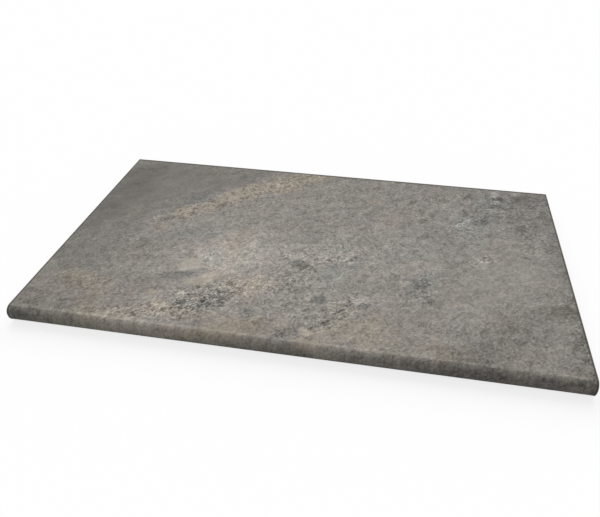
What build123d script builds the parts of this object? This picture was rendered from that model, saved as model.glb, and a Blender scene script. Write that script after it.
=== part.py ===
from build123d import *
import math
import os

# Porcelain bullnose coping: one pressed, fired and ground slab for a pool edge or step.
# Millimetres. Origin under the middle of the slab, on the plane that it lies on.
# X runs along the rounded front edge, -Y is the front, +Z is up.

# Driving sizes of the slab
length = 600.0
width = 330.0
thickness = 20.0
# Both roundings of the nose. What is left of the thickness is a narrow upright band between them.
nose_radius = 9.0
# Small bevel ground on every sawn edge
arris = 0.8

# Keying pattern pressed into the underside: shallow square pockets between flat ribs
pocket_pitch = 30.0
rib_width = 6.0
pocket_depth = 1.0
# How far each pocket wall leans in, from its mouth to its floor
pocket_draft = 0.6
# Least plain border round the pattern
plain_border = 15.0

# Places worked out from the sizes above
half_length = length / 2
front = -width / 2
back = width / 2
nose_line = front + nose_radius
bed_middle = (nose_line + back) / 2

# How many pockets fit inside the border, and their size at the mouth
pocket_mouth = pocket_pitch - rib_width
columns = math.floor((length - 2 * plain_border + rib_width) / pocket_pitch)
rows = math.floor((back - nose_line - 2 * plain_border + rib_width) / pocket_pitch)
draft_angle = math.degrees(math.atan2(pocket_draft, pocket_depth))

with BuildPart() as coping_slab:
    # The section across the slab: flat top and bed, and a square back
    with BuildSketch(Plane.YZ) as section:
        with Locations((0, thickness / 2)):
            Rectangle(width, thickness)
        # The nose: a rounding takes off the upper front corner, and another the lower one
        with BuildLine():
            upper_round = RadiusArc(
                (nose_line, thickness), (front, thickness - nose_radius), -nose_radius
            )
            Polyline(upper_round @ 1, (front, thickness), upper_round @ 0)
        make_face(mode=Mode.SUBTRACT)
        with BuildLine():
            lower_round = RadiusArc(
                (front, nose_radius), (nose_line, 0), -nose_radius
            )
            Polyline(lower_round @ 1, (front, 0), lower_round @ 0)
        make_face(mode=Mode.SUBTRACT)
    extrude(amount=half_length, both=True)

    # Bevels round both sawn ends, and along the sawn back
    end_faces = faces().filter_by(Axis.X)
    back_face = faces().sort_by(Axis.Y)[-1]
    chamfer(end_faces.edges() + back_face.edges().filter_by(Axis.X), length=arris)

    # Pockets of the keying pattern, narrower at their floors
    with BuildSketch(Plane.XY) as pocket_mouths:
        with Locations((0, bed_middle)):
            with GridLocations(pocket_pitch, pocket_pitch, columns, rows):
                Rectangle(pocket_mouth, pocket_mouth)
    extrude(amount=pocket_depth, taper=draft_angle, mode=Mode.SUBTRACT)

coping_slab.part.label = "coping_slab"

os.makedirs("parts", exist_ok=True)
export_step(coping_slab.part, "parts/coping_slab.step")
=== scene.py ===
import math

import bmesh
import bpy
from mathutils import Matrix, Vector, noise


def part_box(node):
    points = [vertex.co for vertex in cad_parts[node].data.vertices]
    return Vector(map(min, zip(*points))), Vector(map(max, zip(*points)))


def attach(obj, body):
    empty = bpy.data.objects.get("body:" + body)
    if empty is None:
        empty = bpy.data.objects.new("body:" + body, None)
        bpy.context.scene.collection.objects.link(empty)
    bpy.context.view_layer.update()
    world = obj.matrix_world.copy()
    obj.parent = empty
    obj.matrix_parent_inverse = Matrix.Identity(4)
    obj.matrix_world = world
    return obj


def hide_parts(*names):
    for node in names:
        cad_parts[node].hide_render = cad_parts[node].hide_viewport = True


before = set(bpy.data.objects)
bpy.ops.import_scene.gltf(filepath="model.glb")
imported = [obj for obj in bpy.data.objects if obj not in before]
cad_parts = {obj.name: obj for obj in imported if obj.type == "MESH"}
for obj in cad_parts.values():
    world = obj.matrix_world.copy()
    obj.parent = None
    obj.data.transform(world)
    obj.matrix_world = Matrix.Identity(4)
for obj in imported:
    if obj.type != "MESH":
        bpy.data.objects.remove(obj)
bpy.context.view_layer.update()        # one body, root, and one node, coping_slab
slabLow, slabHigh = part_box("coping_slab")
print("frame loaded, slab of", [round(1000 * side) for side in slabHigh - slabLow], "mm")

tiny = 0.00001           # metres, for telling places apart
scene = bpy.context.scene


# Camera: it stands in front of the slab, right of its middle, and looks down on it

cameraSettings = {
    "place": (0.1018, -0.4997, 0.4149),
    "down": 39.37,       # degrees below the horizon
    "left": 9.60,        # degrees to the left of straight ahead
    "lens": 31.61,       # mm, on a sensor 36 mm wide
    "shift": -0.0425,    # the photograph was cropped a little on its right
}


def placeCamera(settings):
    camera = bpy.data.cameras.new("viewCamera")
    camera.lens = settings["lens"]
    camera.shift_x = settings["shift"]
    holder = bpy.data.objects.new("viewCamera", camera)
    holder.location = settings["place"]
    tilt = math.radians(90 - settings["down"])
    holder.rotation_euler = (tilt, 0, math.radians(settings["left"]))
    scene.collection.objects.link(holder)
    scene.camera = holder


placeCamera(cameraSettings)
print("camera placed")


# The slab's mesh

slabSettings = {
    "noseRadius": 0.009,
    "noseSteps": 12,         # facets in each rounding of the nose
    "arris": 0.0008,         # bevel ground on every sawn edge
    "arrisSteps": 2,
    "pocketPitch": 0.030,    # keying pattern pressed into the underside
    "ribWidth": 0.006,
    "pocketDepth": 0.001,
    "pocketDraft": 0.0006,
    "pocketCorner": 0.0025,
    "cornerSteps": 4,
    "plainBorder": 0.015,
    "cell": 0.0016,          # side of the squares that carry the relief of the face
}
noseLine = slabLow.y + slabSettings["noseRadius"]    # where the face starts to turn down


def edgesAlong(bm, axis, shortest):
    found = []
    for edge in bm.edges:
        run = edge.verts[1].co - edge.verts[0].co
        if abs(run[axis]) > shortest and run.length - abs(run[axis]) < tiny:
            found.append(edge)
    return found


def bottomFaces(bm):
    return [face for face in bm.faces if face.calc_center_median().z < slabLow.z + tiny]


def sawBlock(bm):
    bmesh.ops.create_cube(bm, size=1)
    bmesh.ops.scale(bm, vec=slabHigh - slabLow, verts=bm.verts)
    bmesh.ops.translate(bm, vec=(slabLow + slabHigh) / 2, verts=bm.verts)


def roundNose(bm, s):
    front = [edge for edge in edgesAlong(bm, 0, tiny) if edge.verts[0].co.y < slabLow.y + tiny]
    bmesh.ops.bevel(bm, geom=front, offset=s["noseRadius"], segments=s["noseSteps"], profile=0.5,
                    affect="EDGES", material=-1)


def grindArris(bm, s):
    edges = [edge for edge in edgesAlong(bm, 0, tiny) if edge.verts[0].co.y > slabHigh.y - tiny]
    for face in bm.faces:
        if abs(face.normal.x) > 0.99:
            edges.extend(face.edges)
    bmesh.ops.bevel(bm, geom=edges, offset=s["arris"], segments=s["arrisSteps"], profile=0.5,
                    affect="EDGES", material=-1)


def pressPockets(bm, s):
    pitch = s["pocketPitch"]
    room = Vector((slabHigh.x - slabLow.x, slabHigh.y - noseLine))
    middle = Vector(((slabLow.x + slabHigh.x) / 2, (noseLine + slabHigh.y) / 2))
    for axis in (0, 1):
        count = math.floor((room[axis] - 2 * s["plainBorder"] + s["ribWidth"]) / pitch)
        for i in range(count + 1):
            place = Vector((0, 0, 0))
            place[axis] = middle[axis] + (i - count / 2) * pitch
            normal = Vector((0, 0, 0))
            normal[axis] = 1
            faces = bottomFaces(bm)
            rims = dict.fromkeys(edge for face in faces for edge in face.edges)
            corners = dict.fromkeys(vert for face in faces for vert in face.verts)
            bmesh.ops.bisect_plane(bm, geom=[*faces, *rims, *corners], dist=tiny / 10,
                                   plane_co=place, plane_no=normal)
    cells = [face for face in bottomFaces(bm) if abs(face.calc_area() / pitch ** 2 - 1) < 0.01]
    bmesh.ops.inset_individual(bm, faces=cells, thickness=s["ribWidth"] / 2, use_even_offset=True)
    bmesh.ops.inset_individual(bm, faces=cells, thickness=s["pocketDraft"],
                               depth=-s["pocketDepth"], use_even_offset=True)
    upright = [edge for face in cells for vert in face.verts
               for edge in vert.link_edges if edge not in face.edges]
    bmesh.ops.bevel(bm, geom=upright, offset=s["pocketCorner"], segments=s["cornerSteps"],
                    profile=0.5, affect="EDGES", material=-1)
    print("underside keyed with", len(cells), "pockets")


def divideFace(bm, s):
    size = slabHigh - slabLow
    long = [edge for edge in edgesAlong(bm, 0, size.x / 2)
            if edge.verts[0].co.z > slabLow.z + tiny]
    bmesh.ops.subdivide_edges(bm, edges=long, cuts=round(size.x / s["cell"]) - 1)
    deep = [edge for edge in edgesAlong(bm, 1, size.y / 2)
            if edge.verts[0].co.z > slabHigh.z - s["arris"] - tiny]
    bmesh.ops.subdivide_edges(bm, edges=deep, cuts=round(size.y / s["cell"]) - 1)


# How far along the face a point lies, measured down over the nose in front of it
def unrolledY(co, s):
    radius = s["noseRadius"]
    if co.y > noseLine:
        return co.y
    upperMiddle = slabHigh.z - radius
    lowerMiddle = slabLow.z + radius
    if co.z > upperMiddle:
        return noseLine - radius * math.atan2(noseLine - co.y, co.z - upperMiddle)
    bandTop = noseLine - radius * math.pi / 2
    if co.z > lowerMiddle:
        return bandTop - (upperMiddle - co.z)
    bandBottom = bandTop - (upperMiddle - lowerMiddle)
    return bandBottom - radius * math.atan2(lowerMiddle - co.z, noseLine - co.y)


reliefSettings = {
    "bedding": 32,           # degrees, the way that the layers of the stone run
    "stretch": 2.6,          # how much longer than wide they are
    "bends": (25, 0.006),    # how many to a metre, and how far the layers swerve there
    "layers": (55, 0.00022),         # how many to a metre, and how deep
    "layerNoise": (0.9, 2.1, 4),     # falling off, step in size, and how many steps
    "mottle": (170, 0.00012),
    "mottleNoise": (0.8, 2.0, 3),
    "mottleSquash": 1.6,     # how much shorter it is than the layers
    "noseShare": 0.30,       # the nose is ground smoother
    "noseCut": 0.00028,      # and a little below the face
    "noseStart": 0.0018,     # in front of the line where the rounding starts
    "fade": 0.005,           # from the edges inward
}


def softStep(value):
    value = min(max(value, 0), 1)
    return value * value * (3 - 2 * value)


def reliefDepth(x, y, r):
    turn = math.radians(r["bedding"])
    along = (x * math.cos(turn) + y * math.sin(turn)) / r["stretch"]
    across = y * math.cos(turn) - x * math.sin(turn)
    bendCount, bendReach = r["bends"]
    layerCount, layerDepth = r["layers"]
    mottleCount, mottleDepth = r["mottle"]
    bent = bendReach * noise.noise(Vector((x, y, 3)) * bendCount)
    layerPlace = Vector((along, across + bent, 0)) * layerCount
    mottlePlace = Vector((along * r["mottleSquash"], across, 5)) * mottleCount
    layers = noise.fractal(layerPlace, *r["layerNoise"])
    mottle = noise.fractal(mottlePlace, *r["mottleNoise"])
    return (0.5 - 0.5 * layers) * layerDepth + (0.5 - 0.5 * mottle) * mottleDepth


def pressRelief(bm, s, r):
    bm.normal_update()
    places = bm.verts.layers.float_vector.new("printPlace")
    for vert in bm.verts:
        y = unrolledY(vert.co, s)
        vert[places] = Vector((vert.co.x, y, 0))
        onTop = vert.co.z > slabHigh.z - tiny
        onNose = vert.co.y < noseLine - tiny
        if not onTop and not onNose:
            continue
        inward = min(vert.co.x - slabLow.x, slabHigh.x - vert.co.x, slabHigh.y - vert.co.y)
        inward -= s["arris"]
        depth = reliefDepth(vert.co.x, y, r)
        if y < noseLine - r["noseStart"]:
            depth = r["noseCut"] + (depth - r["noseCut"]) * r["noseShare"]
            depth *= softStep((vert.co.z - slabLow.z) / r["fade"])
        vert.co -= vert.normal * depth * softStep(inward / r["fade"])
    bm.normal_update()


faceSlot = 0
bodySlot = 1


def paintSlots(bm, s):
    for face in bm.faces:
        middle = face.calc_center_median()
        atEnd = min(middle.x - slabLow.x, slabHigh.x - middle.x) < s["arris"]
        atBack = slabHigh.y - middle.y < s["arris"]
        shown = middle.z > slabHigh.z - s["arris"] or middle.y < noseLine - tiny
        printed = shown and not atEnd and not atBack
        face.material_index = faceSlot if printed else bodySlot
        flat = max(abs(side) for side in face.normal) > 0.9999
        face.smooth = printed or not flat


def buildSlab(s, r):
    bm = bmesh.new()
    sawBlock(bm)
    roundNose(bm, s)
    grindArris(bm, s)
    pressPockets(bm, s)
    divideFace(bm, s)
    pressRelief(bm, s, r)
    paintSlots(bm, s)
    mesh = bpy.data.meshes.new("stone_look_slab")
    bm.to_mesh(mesh)
    openEdges = sum(1 for edge in bm.edges if len(edge.link_faces) != 2)
    bm.free()
    mesh.calc_loop_triangles()
    print("slab meshed:", len(mesh.loop_triangles), "triangles,", openEdges, "open edges")
    slab = bpy.data.objects.new("stone_look_slab", mesh)
    scene.collection.objects.link(slab)
    return slab


slab = buildSlab(slabSettings, reliefSettings)


# Small helpers for shader nodes

def displayed(red, green, blue):
    channels = [value / 255 for value in (red, green, blue)]
    return [c / 12.92 if c <= 0.04045 else ((c + 0.055) / 1.055) ** 2.4 for c in channels] + [1]


def plug(tree, socket, value):
    if isinstance(value, bpy.types.NodeSocket):
        tree.links.new(value, socket)
    else:
        socket.default_value = value


def makeNode(tree, kind, inputs, **settings):
    node = tree.nodes.new("ShaderNode" + kind)
    for name, value in settings.items():
        setattr(node, name, value)
    for name, value in inputs.items():
        plug(tree, node.inputs[name], value)
    return node


def calc(tree, operation, *values, clamp=False):
    inputs = dict(enumerate(values))
    return makeNode(tree, "Math", inputs, operation=operation, use_clamp=clamp).outputs[0]


def ramp(tree, value, low, high, lowest=0.0, highest=1.0):
    inputs = {"Value": value, "From Min": low, "From Max": high,
              "To Min": lowest, "To Max": highest}
    return makeNode(tree, "MapRange", inputs, interpolation_type="SMOOTHSTEP").outputs["Result"]


def blend(tree, share, under, over, mode="MIX"):
    node = makeNode(tree, "Mix", {0: share, 6: under, 7: over}, data_type="RGBA", blend_type=mode)
    return node.outputs[2]


def tinted(tree, share, colour, tint):
    return blend(tree, share, colour, (*tint, 1), "MULTIPLY")


def shadeRow(tree, value, shades):
    node = makeNode(tree, "ValToRGB", {0: value})
    marks = node.color_ramp.elements
    while len(marks) < len(shades):
        marks.new(0.5)
    for i, shade in enumerate(shades):
        marks[i].position = i / (len(shades) - 1)
        marks[i].color = displayed(*shade)
    return node.outputs["Color"]


def speckle(tree, place, scale, detail=2.0, rough=0.5, twist=0.0):
    inputs = {"Vector": place, "Scale": scale, "Detail": detail, "Roughness": rough,
              "Distortion": twist}
    return makeNode(tree, "TexNoise", inputs).outputs["Fac"]


def turned(tree, place, degrees, size, middle=(0, 0)):
    inputs = {"Vector": place, "Location": (*middle, 0), "Rotation": (0, 0, math.radians(degrees)),
              "Scale": (*size, 1)}
    return makeNode(tree, "Mapping", inputs, vector_type="TEXTURE").outputs[0]


# Carries places about by up to half of reach, so that shapes drawn over them lose their neatness
def wobbled(tree, place, scale, reach):
    inputs = {"Vector": place, "Scale": scale, "Detail": 2.0}
    drift = makeNode(tree, "TexNoise", inputs).outputs["Color"]
    swings = {0: drift, 1: (0.5, 0.5, 0.5)}
    centred = makeNode(tree, "VectorMath", swings, operation="SUBTRACT").outputs[0]
    moved = {0: centred, 1: (reach, reach, 0), 2: place}
    return makeNode(tree, "VectorMath", moved, operation="MULTIPLY_ADD").outputs[0]


# Adds up parts that swing about a middle of 0.5, each with its own share
def swing(tree, parts):
    total = 0.0
    for part, share in parts:
        total = calc(tree, "MULTIPLY_ADD", calc(tree, "SUBTRACT", part, 0.5), share, total)
    return total


def newMaterial(name):
    material = bpy.data.materials.new(name)
    material.use_nodes = True
    tree = material.node_tree
    tree.nodes.clear()
    shader = tree.nodes.new("ShaderNodeBsdfPrincipled")
    output = tree.nodes.new("ShaderNodeOutputMaterial")
    tree.links.new(shader.outputs[0], output.inputs["Surface"])
    return material, tree, shader


def finishShader(tree, shader, colour, roughness, gloss, height, depth, strength):
    plug(tree, shader.inputs["Base Color"], colour)
    plug(tree, shader.inputs["Roughness"], roughness)
    shader.inputs["Specular IOR Level"].default_value = gloss
    bump = makeNode(tree, "Bump", {"Height": height, "Distance": depth, "Strength": strength})
    plug(tree, shader.inputs["Normal"], bump.outputs[0])


# The printed face. A patch is a soft lens, strongest in its middle and gone at its rim: the
# middle, the turn in degrees, half the length and half the width, then how much lighter,
# warmer and more speckled it makes the stone. Metres, over the face seen from above.

printSettings = {
    "shades": [(58, 57, 55), (98, 95, 90), (139, 135, 129), (171, 166, 158), (206, 199, 189)],
    "plainTone": 0.51,       # of the stone without patches, along that row from 0 to 1
    "warm": (1.045, 1.0, 0.905),
    "cool": (0.94, 0.99, 1.01),
    "pink": (1.012, 0.991, 1.0),
    "bedding": 34,           # degrees, the way that the layers of the stone run
    "layerStretch": 2.2,     # how much longer than wide the layers, mottle and grain are
    "mottleStretch": 1.4,
    "grainTurn": 40,
    "grainStretch": 1.35,
    "streakStretch": 9,      # down over the nose
    "stainStretch": 2,
    # bends in the shapes that are drawn over the stone: how many to a metre, and their reach
    "wideBends": (30.0, 0.022),
    "closeBends": (130.0, 0.016),
    "chipBends": (190.0, 0.012),
    # noise: how many to a metre, detail, roughness and twist
    "noises": {
        "cloud": (14.0, 3.0),
        "layers": (62.0, 4.0, 0.6),
        "blotch": (95.0, 3.0, 0.55, 0.6),
        "mottle": (190.0, 3.0, 0.62, 0.6),
        "grain": (400.0, 2.0, 0.6, 0.5),
        "dust": (1000.0, 1.0),
        "streaks": (520.0, 2.0),
        "stains": (75.0, 2.0),
        "wideHue": (24.0, 2.0),
        "closeHue": (150.0, 2.0),
        "blush": (34.0, 3.0, 0.6),
        "spots": (230.0, 1.0),
    },
    # how far each of them swings the tone or the hue
    "shares": {
        "cloud": 0.18,
        "layers": 0.24,
        "blotch": 0.32,
        "mottle": 0.66,
        "grain": 0.68,
        "dust": 0.28,
        "streaks": 0.36,
        "stains": 0.30,
        "wideHue": 1.7,
        "closeHue": 1.3,
    },
    "leastSpeckled": -0.8,   # the patches take no more than this from the speckles
    "noseSpeckled": 0.9,     # how speckled the nose is beside the face
    "noseFades": (0.0019, 0.0031),    # where the nose's print starts, in front of the nose line
    "paintedHighlightFades": (-0.0020, 0.0010),    # where the painted highlight before it starts and is full
    # how much lighter the painted highlight makes the face
    "paintedHighlightTone": 0.10,
    "blushTurn": 60,
    "blushStretch": 1.6,
    "blushFades": (0.42, 0.60),
    "spotFades": (0.42, 0.37),
    "spotShare": 0.60,       # how much of the stone's colour a brown spot covers
    # how far up the lenses an effect starts, and where it is full
    "patchFades": (0.0, 0.9),
    "chipFades": (0.05, 0.45),
    "bandFades": (0.05, 0.35),
    "spottedFades": (0.05, 0.60),
    # where the face starts to darken and is darkest, inward from the ends and the back
    "endFades": (0.0030, 0.0018),
    "backFades": (0.0042, 0.0026),
    "edgeShare": 0.75,
    "grainRange": (0.3, 0.7),
    "roughness": (0.78, 0.66),
    "gloss": 0.12,
    "mottleHeight": 0.6,
    "bumpDepth": 0.0003,
    "speckledRange": (0.2, 1.2),
    "bumpStrength": (0.15, 0.5),
    "patches": [
        # darker: wide and even behind the band, down the left end and over both right-hand
        # corners, then in small places all over
        ((-0.245, 0.100), 45, (0.190, 0.105), (-0.15, -0.1, -0.80)),
        ((-0.132, 0.130), 35, (0.080, 0.028), (-0.12, 0.0, -0.50)),
        ((-0.168, 0.145), 20, (0.050, 0.020), (-0.07, 0.0, -0.10)),
        ((-0.285, 0.145), 50, (0.070, 0.050), (-0.08, 0.0, -0.10)),
        ((-0.295, -0.020), 88, (0.200, 0.085), (-0.10, 0.0, -0.35)),
        ((-0.245, -0.045), 75, (0.090, 0.030), (-0.05, 0.0, -0.10)),
        ((-0.260, -0.150), 172, (0.090, 0.026), (-0.10, 0.1, 0.00)),
        ((0.305, 0.010), 90, (0.230, 0.028), (-0.13, -0.3, 0.00)),
        ((0.275, 0.125), 55, (0.090, 0.040), (-0.10, -0.3, 0.10)),
        ((0.245, 0.146), 30, (0.055, 0.024), (-0.11, -0.2, 0.00)),
        ((0.145, 0.120), 80, (0.050, 0.030), (-0.06, 0.0, 0.20)),
        ((0.215, -0.128), 40, (0.110, 0.034), (-0.11, 0.0, -0.10)),
        ((0.180, -0.150), 20, (0.050, 0.020), (-0.04, 0.2, 0.00)),
        ((0.298, -0.120), 90, (0.050, 0.026), (-0.13, 0.0, 0.10)),
        ((0.290, -0.152), 30, (0.030, 0.020), (-0.07, 0.1, 0.00)),
        ((0.050, 0.170), 0, (0.330, 0.060), (-0.03, 0.0, 0.00)),
        ((0.235, -0.020), 45, (0.120, 0.080), (0.03, 0.0, -0.30)),
        ((-0.205, -0.036), 30, (0.045, 0.026), (-0.05, 0.0, 0.00)),
        ((0.058, 0.056), 20, (0.036, 0.022), (-0.05, 0.0, 0.00)),
        ((0.262, 0.066), 60, (0.040, 0.026), (-0.05, 0.0, 0.00)),
        ((0.245, 0.123), 40, (0.028, 0.018), (-0.05, 0.0, 0.00)),
        ((-0.022, -0.021), 20, (0.028, 0.016), (-0.06, 0.0, 0.00)),
        ((0.052, 0.002), 10, (0.028, 0.016), (-0.06, 0.0, 0.00)),
        ((0.277, -0.132), 60, (0.028, 0.018), (-0.05, 0.0, 0.00)),
        ((-0.161, 0.127), 30, (0.030, 0.018), (-0.05, 0.0, 0.00)),
        ((-0.080, -0.149), 5, (0.026, 0.012), (-0.05, 0.0, 0.00)),
        ((0.023, 0.116), 30, (0.028, 0.020), (-0.05, 0.0, 0.00)),
        ((-0.055, -0.034), 20, (0.020, 0.012), (-0.05, 0.0, 0.00)),
        ((-0.166, -0.130), 20, (0.018, 0.010), (-0.05, 0.0, 0.00)),
        ((0.175, 0.142), 40, (0.018, 0.012), (-0.05, 0.0, 0.00)),
        ((-0.230, -0.079), 30, (0.022, 0.014), (-0.06, 0.0, 0.00)),
        ((0.001, -0.113), 20, (0.020, 0.012), (-0.07, 0.0, 0.00)),
        # a little paler, most of them in and below the band
        ((-0.150, 0.072), 42, (0.040, 0.020), (0.05, 0.1, 0.00)),
        ((-0.084, 0.113), 35, (0.046, 0.020), (0.08, 0.0, 0.00)),
        ((-0.035, 0.134), 30, (0.018, 0.011), (0.05, 0.0, 0.00)),
        ((0.182, 0.007), 40, (0.018, 0.012), (0.06, 0.0, 0.00)),
        ((-0.126, 0.139), 30, (0.028, 0.016), (0.03, 0.0, 0.00)),
        ((-0.050, 0.154), 25, (0.040, 0.020), (0.04, 0.0, 0.00)),
        ((-0.110, 0.036), 35, (0.046, 0.024), (0.05, 0.0, 0.00)),
        ((-0.038, 0.072), 20, (0.046, 0.024), (0.04, 0.0, 0.00)),
        ((0.142, -0.020), 70, (0.060, 0.032), (0.05, 0.0, 0.00)),
        ((0.243, -0.077), 30, (0.034, 0.022), (0.05, 0.0, 0.00)),
        ((-0.260, -0.100), 20, (0.022, 0.014), (0.08, 0.0, 0.00)),
        # the pale heart left of the middle, and what trails from it
        ((-0.090, -0.036), 20, (0.100, 0.070), (0.19, 0.1, 0.30)),
        ((-0.080, -0.045), 25, (0.060, 0.034), (0.07, 0.1, 0.10)),
        ((-0.092, -0.066), 20, (0.030, 0.018), (0.05, 0.1, 0.00)),
        ((-0.045, -0.083), 22, (0.060, 0.026), (0.15, 0.6, 0.50)),
        ((0.018, -0.019), 12, (0.095, 0.030), (0.09, 0.0, 0.70)),
        ((-0.112, -0.010), 80, (0.060, 0.020), (0.05, 0.0, 0.10)),
        ((-0.178, -0.072), 15, (0.040, 0.022), (0.07, 0.0, 0.10)),
        ((-0.138, -0.123), 20, (0.050, 0.024), (0.10, 0.2, 0.50)),
        ((-0.150, -0.142), 8, (0.090, 0.018), (0.10, 0.6, 0.70)),
        ((0.005, -0.112), 12, (0.150, 0.042), (0.08, 0.0, 0.30)),
        ((-0.045, -0.100), 20, (0.045, 0.020), (0.05, 0.0, 0.20)),
        ((0.030, -0.060), 8, (0.080, 0.026), (0.08, 0.0, 0.10)),
        ((0.078, -0.035), 10, (0.040, 0.022), (0.05, 0.0, 0.10)),
        ((0.130, -0.105), 30, (0.130, 0.060), (0.02, 0.0, -0.10)),
        ((0.128, -0.024), 20, (0.030, 0.018), (0.09, 0.1, 0.10)),
        ((0.050, 0.015), 15, (0.180, 0.060), (0.04, 0.0, 0.00)),
        # rough with dark flecks
        ((-0.098, -0.114), 30, (0.060, 0.034), (-0.02, -0.2, 1.35)),
        ((-0.005, -0.060), 25, (0.060, 0.034), (-0.01, -0.1, 0.70)),
        ((0.050, -0.110), 50, (0.050, 0.022), (-0.04, 0.0, 0.80)),
        ((0.135, -0.055), 75, (0.045, 0.022), (-0.02, -0.4, 0.40)),
        # rough with pale flecks
        ((0.230, 0.135), 50, (0.045, 0.026), (0.04, -0.3, 0.40)),
        ((0.190, 0.068), 60, (0.045, 0.026), (0.05, -0.3, 0.40)),
        ((0.265, 0.038), 60, (0.050, 0.032), (-0.05, -0.2, 0.40)),
        ((0.202, 0.026), 40, (0.030, 0.020), (0.06, 0.1, -0.10)),
        ((0.206, 0.001), 25, (0.030, 0.016), (0.05, 0.2, 0.70)),
        # blue grey
        ((-0.168, 0.080), 42, (0.050, 0.022), (-0.03, -0.9, 0.00)),
        ((0.160, 0.020), 60, (0.150, 0.080), (0.00, -0.3, 0.00)),
        ((0.210, 0.095), 62, (0.100, 0.042), (-0.06, -0.8, 0.20)),
        ((0.140, 0.040), 72, (0.070, 0.028), (0.00, -0.6, 0.10)),
        ((-0.122, 0.004), 60, (0.028, 0.020), (0.00, -0.8, 0.00)),
        ((-0.110, -0.042), 30, (0.024, 0.018), (0.00, -0.7, 0.30)),
        ((-0.160, 0.000), 35, (0.045, 0.018), (-0.02, -0.6, -0.20)),
        ((0.036, -0.055), 60, (0.050, 0.020), (0.00, -0.7, 0.00)),
        ((0.045, -0.006), 5, (0.120, 0.050), (0.00, -0.3, 0.00)),
        ((0.238, -0.045), 30, (0.065, 0.048), (0.00, -0.2, 0.00)),
        # tan and olive
        ((-0.235, -0.130), 5, (0.100, 0.055), (0.00, 0.3, 0.00)),
        ((-0.078, -0.095), 10, (0.045, 0.038), (0.00, 0.3, 0.00)),
        ((0.140, -0.150), 0, (0.095, 0.028), (0.00, 0.4, 0.00)),
        ((0.066, -0.136), 15, (0.075, 0.034), (0.04, 0.8, 0.10)),
        ((-0.052, -0.146), 8, (0.070, 0.026), (0.01, 0.9, -0.20)),
        ((-0.245, -0.108), 170, (0.070, 0.024), (-0.02, 0.5, 0.10)),
        ((0.070, 0.106), 60, (0.016, 0.011), (0.02, 0.9, 0.20)),
        ((-0.085, -0.005), 60, (0.050, 0.024), (0.00, 0.4, 0.00)),
        ((0.105, 0.075), 20, (0.060, 0.030), (0.00, 0.2, 0.00)),
        # along the nose: dark where it starts, paler to the left of the middle; partly the print's
        # own tone, partly painted light and shade for how the light falls on the rounding
        ((-0.028, -0.177), 0, (0.085, 0.010), (-0.09, 0.0, 0.00)),
        ((-0.285, -0.172), 0, (0.040, 0.016), (-0.09, -0.2, -0.20)),
        ((-0.180, -0.168), 0, (0.120, 0.024), (0.15, 0.4, 0.00)),
        ((-0.135, -0.165), 0, (0.080, 0.014), (0.11, 0.2, 0.00)),
        ((-0.065, -0.166), 0, (0.080, 0.018), (0.08, 0.7, 0.00)),
        ((0.028, -0.164), 0, (0.048, 0.012), (0.10, 0.4, 0.00)),
        ((0.268, -0.159), 0, (0.045, 0.010), (-0.06, 0.2, 0.00)),
        ((0.000, -0.168), 0, (0.160, 0.024), (0.04, 0.0, 0.00)),
        ((0.210, -0.168), 0, (0.130, 0.024), (-0.07, -0.1, 0.00)),
    ],
    # small and clear ones, like chips laid into the stone
    "chips": [
        # cream and olive
        ((-0.132, -0.062), 30, (0.018, 0.016), (0.13, 0.4, -0.50)),
        ((-0.112, -0.086), 12, (0.022, 0.013), (0.12, 0.4, -0.40)),
        ((-0.155, -0.115), 20, (0.012, 0.009), (0.15, 0.5, -0.30)),
        ((-0.144, -0.129), 10, (0.012, 0.008), (0.15, 0.7, -0.30)),
        ((0.020, -0.144), 10, (0.009, 0.007), (0.16, 0.5, -0.20)),
        ((0.258, 0.158), 0, (0.011, 0.007), (0.16, 0.4, -0.30)),
        ((-0.180, 0.045), 60, (0.016, 0.013), (0.09, 0.1, -0.60)),
        ((-0.126, 0.086), 50, (0.015, 0.012), (0.06, 0.0, -0.60)),
        # dark grey and blue grey
        ((-0.136, -0.081), 17, (0.038, 0.009), (-0.10, -0.5, -0.10)),
        ((-0.128, -0.077), 15, (0.012, 0.004), (-0.09, -0.4, 0.00)),
        ((-0.087, -0.111), 75, (0.022, 0.012), (-0.11, -0.6, 0.20)),
        ((-0.106, -0.124), 15, (0.020, 0.010), (-0.13, -0.3, 0.30)),
        ((-0.112, -0.106), 20, (0.012, 0.008), (-0.07, -0.5, 0.20)),
        ((-0.045, -0.129), 70, (0.012, 0.008), (-0.12, -0.9, 0.20)),
        ((0.003, -0.148), 5, (0.020, 0.010), (-0.11, -0.2, 0.10)),
        ((0.026, -0.096), 20, (0.011, 0.009), (-0.20, -0.9, -0.60)),
        ((0.030, -0.048), 60, (0.016, 0.010), (-0.04, -0.9, -0.40)),
        ((0.055, -0.028), 80, (0.016, 0.005), (-0.08, -0.9, 0.00)),
        ((0.137, -0.052), 75, (0.014, 0.008), (-0.08, -0.6, 0.20)),
        ((0.143, -0.078), 90, (0.012, 0.007), (-0.11, -0.3, 0.20)),
        ((0.257, 0.075), 60, (0.013, 0.010), (-0.15, -0.4, 0.00)),
        ((0.133, 0.072), 20, (0.008, 0.006), (-0.13, -0.2, 0.00)),
        ((0.118, 0.118), 60, (0.020, 0.010), (-0.06, 0.0, 0.10)),
        ((0.212, 0.082), 60, (0.010, 0.005), (-0.12, -0.2, 0.00)),
        ((0.229, 0.121), 40, (0.012, 0.007), (-0.12, -0.4, 0.10)),
        ((0.235, 0.141), 50, (0.006, 0.005), (-0.18, -0.2, 0.00)),
        ((0.285, 0.036), 60, (0.012, 0.008), (-0.10, -0.3, 0.20)),
        # taupe and brown
        ((-0.006, -0.042), 10, (0.014, 0.010), (-0.18, 0.2, -0.50)),
        ((-0.119, -0.133), 0, (0.006, 0.004), (-0.15, 0.8, 0.00)),
        ((-0.066, -0.101), 10, (0.010, 0.005), (-0.12, 0.8, 0.30)),
        ((-0.074, -0.087), 170, (0.009, 0.005), (-0.15, 0.9, 0.30)),
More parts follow.
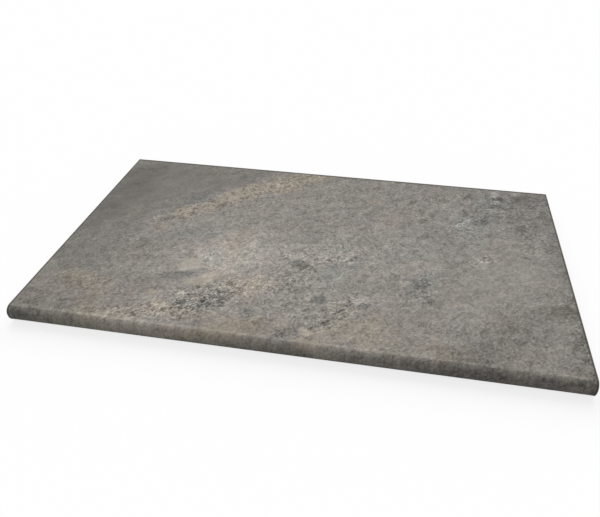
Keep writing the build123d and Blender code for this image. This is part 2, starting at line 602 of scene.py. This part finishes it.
        ((-0.029, -0.138), 0, (0.009, 0.007), (-0.15, 0.9, 0.00)),
        ((0.124, -0.053), 80, (0.012, 0.007), (-0.06, 0.3, -0.50)),
        ((0.264, 0.147), 40, (0.022, 0.014), (-0.09, 0.0, -0.20)),
        ((0.284, -0.072), 10, (0.022, 0.012), (-0.16, 0.3, -0.20)),
        ((0.193, 0.140), 45, (0.014, 0.006), (-0.13, 0.2, 0.10)),
        ((0.186, 0.097), 40, (0.010, 0.007), (-0.12, 0.1, 0.00)),
        ((0.052, -0.108), 60, (0.024, 0.006), (-0.07, -0.1, 0.20)),
        ((0.038, -0.130), 40, (0.018, 0.006), (-0.06, 0.0, 0.20)),
        # the flecks that trail off below the band
        ((-0.194, 0.022), 20, (0.008, 0.006), (-0.15, 0.2, 0.00)),
        ((-0.176, 0.028), 10, (0.009, 0.005), (-0.12, 0.2, 0.00)),
        ((-0.165, 0.040), 0, (0.007, 0.007), (-0.15, 0.2, 0.00)),
        ((-0.152, 0.072), 60, (0.006, 0.005), (-0.20, 0.0, 0.00)),
        ((-0.136, 0.062), 30, (0.012, 0.005), (-0.12, 0.2, 0.00)),
        ((-0.209, 0.022), 30, (0.008, 0.006), (0.10, 0.2, 0.30)),
        ((-0.186, 0.020), 10, (0.009, 0.006), (0.08, 0.2, 0.00)),
        ((-0.198, 0.008), 20, (0.016, 0.009), (0.03, 0.5, 0.00)),
        # pale flecks, and pale rings round dark dots
        ((-0.133, -0.109), 20, (0.010, 0.007), (0.12, -0.4, 0.60)),
        ((-0.098, -0.114), 20, (0.009, 0.006), (0.10, 0.0, 0.20)),
        ((-0.109, -0.096), 20, (0.010, 0.006), (0.09, 0.0, 0.20)),
        ((-0.112, -0.039), 20, (0.014, 0.009), (0.08, 0.0, 0.00)),
        ((-0.136, -0.098), 25, (0.014, 0.008), (0.08, 0.0, 0.00)),
        ((-0.080, -0.072), 20, (0.018, 0.010), (0.06, 0.1, 0.00)),
        ((0.116, -0.053), 10, (0.008, 0.005), (0.20, 0.3, 0.00)),
        ((0.072, -0.090), 40, (0.016, 0.006), (0.16, -0.1, 0.00)),
        ((0.074, -0.098), 25, (0.011, 0.006), (-0.16, -0.7, -0.20)),
        ((0.066, -0.105), 10, (0.013, 0.005), (0.15, 0.2, 0.00)),
        ((0.027, -0.028), 0, (0.012, 0.009), (0.11, 0.2, 0.00)),
        ((0.027, -0.028), 0, (0.006, 0.004), (-0.30, 0.0, 0.00)),
        ((0.048, -0.026), 0, (0.008, 0.007), (0.09, 0.2, 0.60)),
        ((0.229, 0.151), 60, (0.009, 0.008), (0.17, -0.5, 0.30)),
        ((0.229, 0.131), 20, (0.010, 0.006), (0.17, -0.4, 0.20)),
        ((0.222, 0.112), 30, (0.011, 0.006), (0.14, -0.5, 0.50)),
        ((0.187, 0.079), 70, (0.011, 0.008), (0.13, -0.4, 0.60)),
        ((0.179, 0.068), 45, (0.010, 0.006), (0.13, -0.3, 0.60)),
        ((0.270, 0.028), 75, (0.012, 0.007), (0.11, -0.1, 0.00)),
        ((0.206, 0.003), 60, (0.010, 0.007), (0.12, 0.1, 0.40)),
    ],
    # the speckled beige band: middle, turn and half sizes of the beds that it is made of
    "band": [
        ((-0.180, 0.043), 52, (0.022, 0.017)),
        ((-0.153, 0.060), 42, (0.034, 0.015)),
        ((-0.127, 0.085), 42, (0.037, 0.021)),
        ((-0.094, 0.112), 36, (0.042, 0.022)),
        ((-0.062, 0.128), 30, (0.044, 0.025)),
        ((-0.032, 0.151), 26, (0.042, 0.021)),
    ],
    "bandEffect": (0.06, 0.9, 0.25),
    # brown spots show in the band and in these places
    "spotted": [
        ((-0.198, 0.022), 28, (0.026, 0.010)),
        ((-0.150, -0.140), 10, (0.070, 0.020)),
        ((-0.065, -0.090), 10, (0.026, 0.016)),
    ],
    "spots": (88, 76, 62),
    "edge": (74, 70, 65),    # the dark colour that the face takes beside the arris
}


def lens(tree, place, middle, turn, halfSize):
    local = turned(tree, place, turn, halfSize, middle)
    return makeNode(tree, "TexGradient", {0: local}, gradient_type="SPHERICAL").outputs["Fac"]


def addEffect(tree, share, effect, total):
    part = makeNode(tree, "VectorMath", {0: effect, "Scale": share}, operation="SCALE").outputs[0]
    return makeNode(tree, "VectorMath", {0: part, 1: total}, operation="ADD").outputs[0]


# The effects of a whole list. Each list has a sum of its own, which keeps the shader small enough
def gathered(tree, place, patches, start, full):
    total = (0, 0, 0)
    for middle, turn, halfSize, effect in patches:
        share = ramp(tree, lens(tree, place, middle, turn, halfSize), start, full)
        total = addEffect(tree, share, effect, total)
    return total


def joined(tree, place, beds, start, full):
    most = 0.0
    for middle, turn, halfSize in beds:
        most = calc(tree, "MAXIMUM", most, lens(tree, place, middle, turn, halfSize))
    return ramp(tree, most, start, full)


def stoneFace(p):
    material, tree, shader = newMaterial("stone_look_face")
    place = makeNode(tree, "Attribute", {}, attribute_name="printPlace").outputs["Vector"]
    across, down, _ = makeNode(tree, "SeparateXYZ", {0: place}).outputs
    bent = wobbled(tree, wobbled(tree, place, *p["wideBends"]), *p["closeBends"])
    jagged = wobbled(tree, place, *p["chipBends"])

    # What the patches and chips make of the stone at each place
    soft = gathered(tree, bent, p["patches"], *p["patchFades"])
    crisp = gathered(tree, jagged, p["chips"], *p["chipFades"])
    band = joined(tree, jagged, p["band"], *p["bandFades"])
    spotted = joined(tree, jagged, p["spotted"], *p["spottedFades"])
    spotted = calc(tree, "MAXIMUM", band, spotted)
    total = makeNode(tree, "VectorMath", {0: soft, 1: crisp}, operation="ADD").outputs[0]
    total = addEffect(tree, band, p["bandEffect"], total)
    lighter, warmer, rougher = makeNode(tree, "SeparateXYZ", {0: total}).outputs

    # The grain of the stone, from clouds down to dust
    noises = p["noises"]
    shares = p["shares"]
    bedded = turned(tree, bent, p["bedding"], (p["layerStretch"], 1))
    mottled = turned(tree, bent, p["bedding"], (p["mottleStretch"], 1))
    grained = turned(tree, place, p["grainTurn"], (p["grainStretch"], 1))
    cloud = speckle(tree, place, *noises["cloud"])
    layers = speckle(tree, bedded, *noises["layers"])
    blotch = speckle(tree, grained, *noises["blotch"])
    mottle = speckle(tree, mottled, *noises["mottle"])
    grain = speckle(tree, grained, *noises["grain"])
    dust = speckle(tree, place, *noises["dust"])
    fine = swing(tree, [(blotch, shares["blotch"]), (mottle, shares["mottle"]),
                        (grain, shares["grain"]), (dust, shares["dust"])])
    coarse = swing(tree, [(cloud, shares["cloud"]), (layers, shares["layers"])])
    onNose = ramp(tree, down, *[noseLine - reach for reach in p["noseFades"]])
    speckled = calc(tree, "ADD", 1.0, calc(tree, "MAXIMUM", rougher, p["leastSpeckled"]))
    noseShare = ramp(tree, onNose, 0.0, 1.0, 1.0, p["noseSpeckled"])
    speckled = calc(tree, "MULTIPLY", speckled, noseShare)
    tone = calc(tree, "ADD", p["plainTone"], lighter)
    tone = calc(tree, "MULTIPLY_ADD", fine, speckled, tone)
    tone = calc(tree, "ADD", tone, coarse)

    # The face ends in a pale line of painted highlight where the ground nose starts, and the nose
    # is streaked
    paintedHighlight = ramp(tree, down, *[noseLine - reach for reach in p["paintedHighlightFades"]])
    paintedHighlight = calc(tree, "MULTIPLY", paintedHighlight, calc(tree, "SUBTRACT", 1.0, onNose))
    tone = calc(tree, "MULTIPLY_ADD", paintedHighlight, p["paintedHighlightTone"], tone)
    streaks = speckle(tree, turned(tree, place, 0, (1, p["streakStretch"])), *noises["streaks"])
    stains = speckle(tree, turned(tree, place, 0, (1, p["stainStretch"])), *noises["stains"])
    ground = swing(tree, [(streaks, shares["streaks"]), (stains, shares["stains"])])
    tone = calc(tree, "MULTIPLY_ADD", ground, onNose, tone)
    colour = shadeRow(tree, tone, p["shades"])

    # Warm, cool and pink drift, with a little of its own everywhere
    wideHue = speckle(tree, bent, *noises["wideHue"])
    closeHue = speckle(tree, bedded, *noises["closeHue"])
    hue = swing(tree, [(wideHue, shares["wideHue"]), (closeHue, shares["closeHue"])])
    hue = calc(tree, "ADD", hue, warmer)
    colour = tinted(tree, calc(tree, "MULTIPLY", hue, 1.0, clamp=True), colour, p["warm"])
    colour = tinted(tree, calc(tree, "MULTIPLY", hue, -1.0, clamp=True), colour, p["cool"])
    blush = turned(tree, bent, p["blushTurn"], (p["blushStretch"], 1))
    blush = ramp(tree, speckle(tree, blush, *noises["blush"]), *p["blushFades"])
    colour = tinted(tree, blush, colour, p["pink"])

    # Brown spots
    spots = speckle(tree, grained, *noises["spots"])
    spots = ramp(tree, spots, *p["spotFades"], 0.0, p["spotShare"])
    colour = blend(tree, calc(tree, "MULTIPLY", spotted, spots), colour, displayed(*p["spots"]))

    # The face darkens beside the arris, at the ends and the back
    endward = calc(tree, "ABSOLUTE", across)
    atEnds = ramp(tree, endward, *[slabHigh.x - reach for reach in p["endFades"]])
    atBack = ramp(tree, down, *[slabHigh.y - reach for reach in p["backFades"]])
    edgeShare = calc(tree, "MULTIPLY", calc(tree, "MAXIMUM", atEnds, atBack), p["edgeShare"])
    colour = blend(tree, edgeShare, colour, displayed(*p["edge"]))

    roughness = ramp(tree, grain, *p["grainRange"], *p["roughness"])
    height = calc(tree, "MULTIPLY_ADD", mottle, p["mottleHeight"], grain)
    strength = ramp(tree, speckled, *p["speckledRange"], *p["bumpStrength"])
    finishShader(tree, shader, colour, roughness, p["gloss"], height, p["bumpDepth"], strength)
    return material


bodySettings = {
    "clay": (74, 71, 67),
    "chalk": (104, 100, 94),
    "cloud": (25.0, 3.0),
    "grit": (900.0, 2.0, 0.7),
    "gritShare": 1.6,
    "toneRange": (0.1, 0.9),
    "gritRange": (0.3, 0.7),
    "roughness": (0.85, 0.7),
    "gloss": 0.2,
    "bumpDepth": 0.0002,
    "bumpStrength": 0.5,
}


# The fired body, where the slab is sawn, ground or left as pressed
def firedBody(b):
    material, tree, shader = newMaterial("fired_body")
    place = makeNode(tree, "TexCoord", {}).outputs["Object"]
    cloud = speckle(tree, place, *b["cloud"])
    grit = speckle(tree, place, *b["grit"])
    tone = calc(tree, "ADD", cloud, swing(tree, [(grit, b["gritShare"])]))
    paler = ramp(tree, tone, *b["toneRange"])
    colour = blend(tree, paler, displayed(*b["clay"]), displayed(*b["chalk"]))
    roughness = ramp(tree, grit, *b["gritRange"], *b["roughness"])
    finishShader(tree, shader, colour, roughness, b["gloss"], grit, b["bumpDepth"],
                 b["bumpStrength"])
    return material


slab.data.materials.append(stoneFace(printSettings))
slab.data.materials.append(firedBody(bodySettings))
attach(slab, "root")
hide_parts("coping_slab")
print("slab finished with its two materials")


# Floor, light and background

stageSettings = {
    "floorSide": 30.0,
    "floorGap": 0.0003,      # under the slab, so that the two don't lie in one plane
    "floorBounce": 0.30,     # how pale the floor is to the light that reaches the slab
    "floorWhite": 1.02,      # how bright it is seen, away from the slab
    "floorShade": 0.24,      # and the share of that which takes the shadow
    "sky": 0.41,
    "sun": 2.3,
    "sunWidth": 60,          # degrees across, for soft shadows
    "sunHeight": 42,
    "sunTurn": 8,            # degrees left of straight behind the slab
}


# 1 where the camera looks at a thing itself, or at it in a gloss or through glass
def seenRay(tree):
    path = makeNode(tree, "LightPath", {})
    direct = calc(tree, "ADD", path.outputs["Is Camera Ray"], path.outputs["Is Glossy Ray"])
    return calc(tree, "ADD", direct, path.outputs["Is Transmission Ray"], clamp=True)


def layFloor(g):
    bm = bmesh.new()
    bmesh.ops.create_grid(bm, x_segments=1, y_segments=1, size=g["floorSide"] / 2)
    bmesh.ops.translate(bm, vec=(0, 0, slabLow.z - g["floorGap"]), verts=bm.verts)
    mesh = bpy.data.meshes.new("studio_floor")
    bm.to_mesh(mesh)
    bm.free()
    floor = bpy.data.objects.new("studio_floor", mesh)
    scene.collection.objects.link(floor)
    material = bpy.data.materials.new("studio_floor")
    material.use_nodes = True
    tree = material.node_tree
    tree.nodes.clear()
    grey = [g["floorBounce"]] * 3 + [1]
    shade = [g["floorShade"]] * 3 + [1]
    lit = makeNode(tree, "BsdfDiffuse", {"Color": grey}).outputs[0]
    shaded = makeNode(tree, "BsdfDiffuse", {"Color": shade}).outputs[0]
    strength = g["floorWhite"] - g["floorShade"]
    glow = makeNode(tree, "Emission", {"Color": (1, 1, 1, 1), "Strength": strength}).outputs[0]
    seen = makeNode(tree, "AddShader", {0: shaded, 1: glow}).outputs[0]
    mixed = makeNode(tree, "MixShader", {0: seenRay(tree), 1: lit, 2: seen}).outputs[0]
    makeNode(tree, "OutputMaterial", {"Surface": mixed})
    floor.data.materials.append(material)


def hangSun(g):
    sun = bpy.data.lights.new("softSun", "SUN")
    sun.energy = g["sun"]
    sun.angle = math.radians(g["sunWidth"])
    holder = bpy.data.objects.new("softSun", sun)
    holder.rotation_euler = (math.radians(g["sunHeight"] - 90), 0, math.radians(g["sunTurn"]))
    scene.collection.objects.link(holder)


def lightSky(g):
    world = bpy.data.worlds.new("paleSky")
    scene.world = world
    world.use_nodes = True
    tree = world.node_tree
    tree.nodes.clear()
    strength = ramp(tree, seenRay(tree), 0.0, 1.0, g["sky"], 1.0)
    back = makeNode(tree, "Background", {"Color": (1, 1, 1, 1), "Strength": strength}).outputs[0]
    makeNode(tree, "OutputWorld", {"Surface": back})


layFloor(stageSettings)
hangSun(stageSettings)
lightSky(stageSettings)
scene.view_settings.view_transform = "Standard"
print("floor, light and background set")
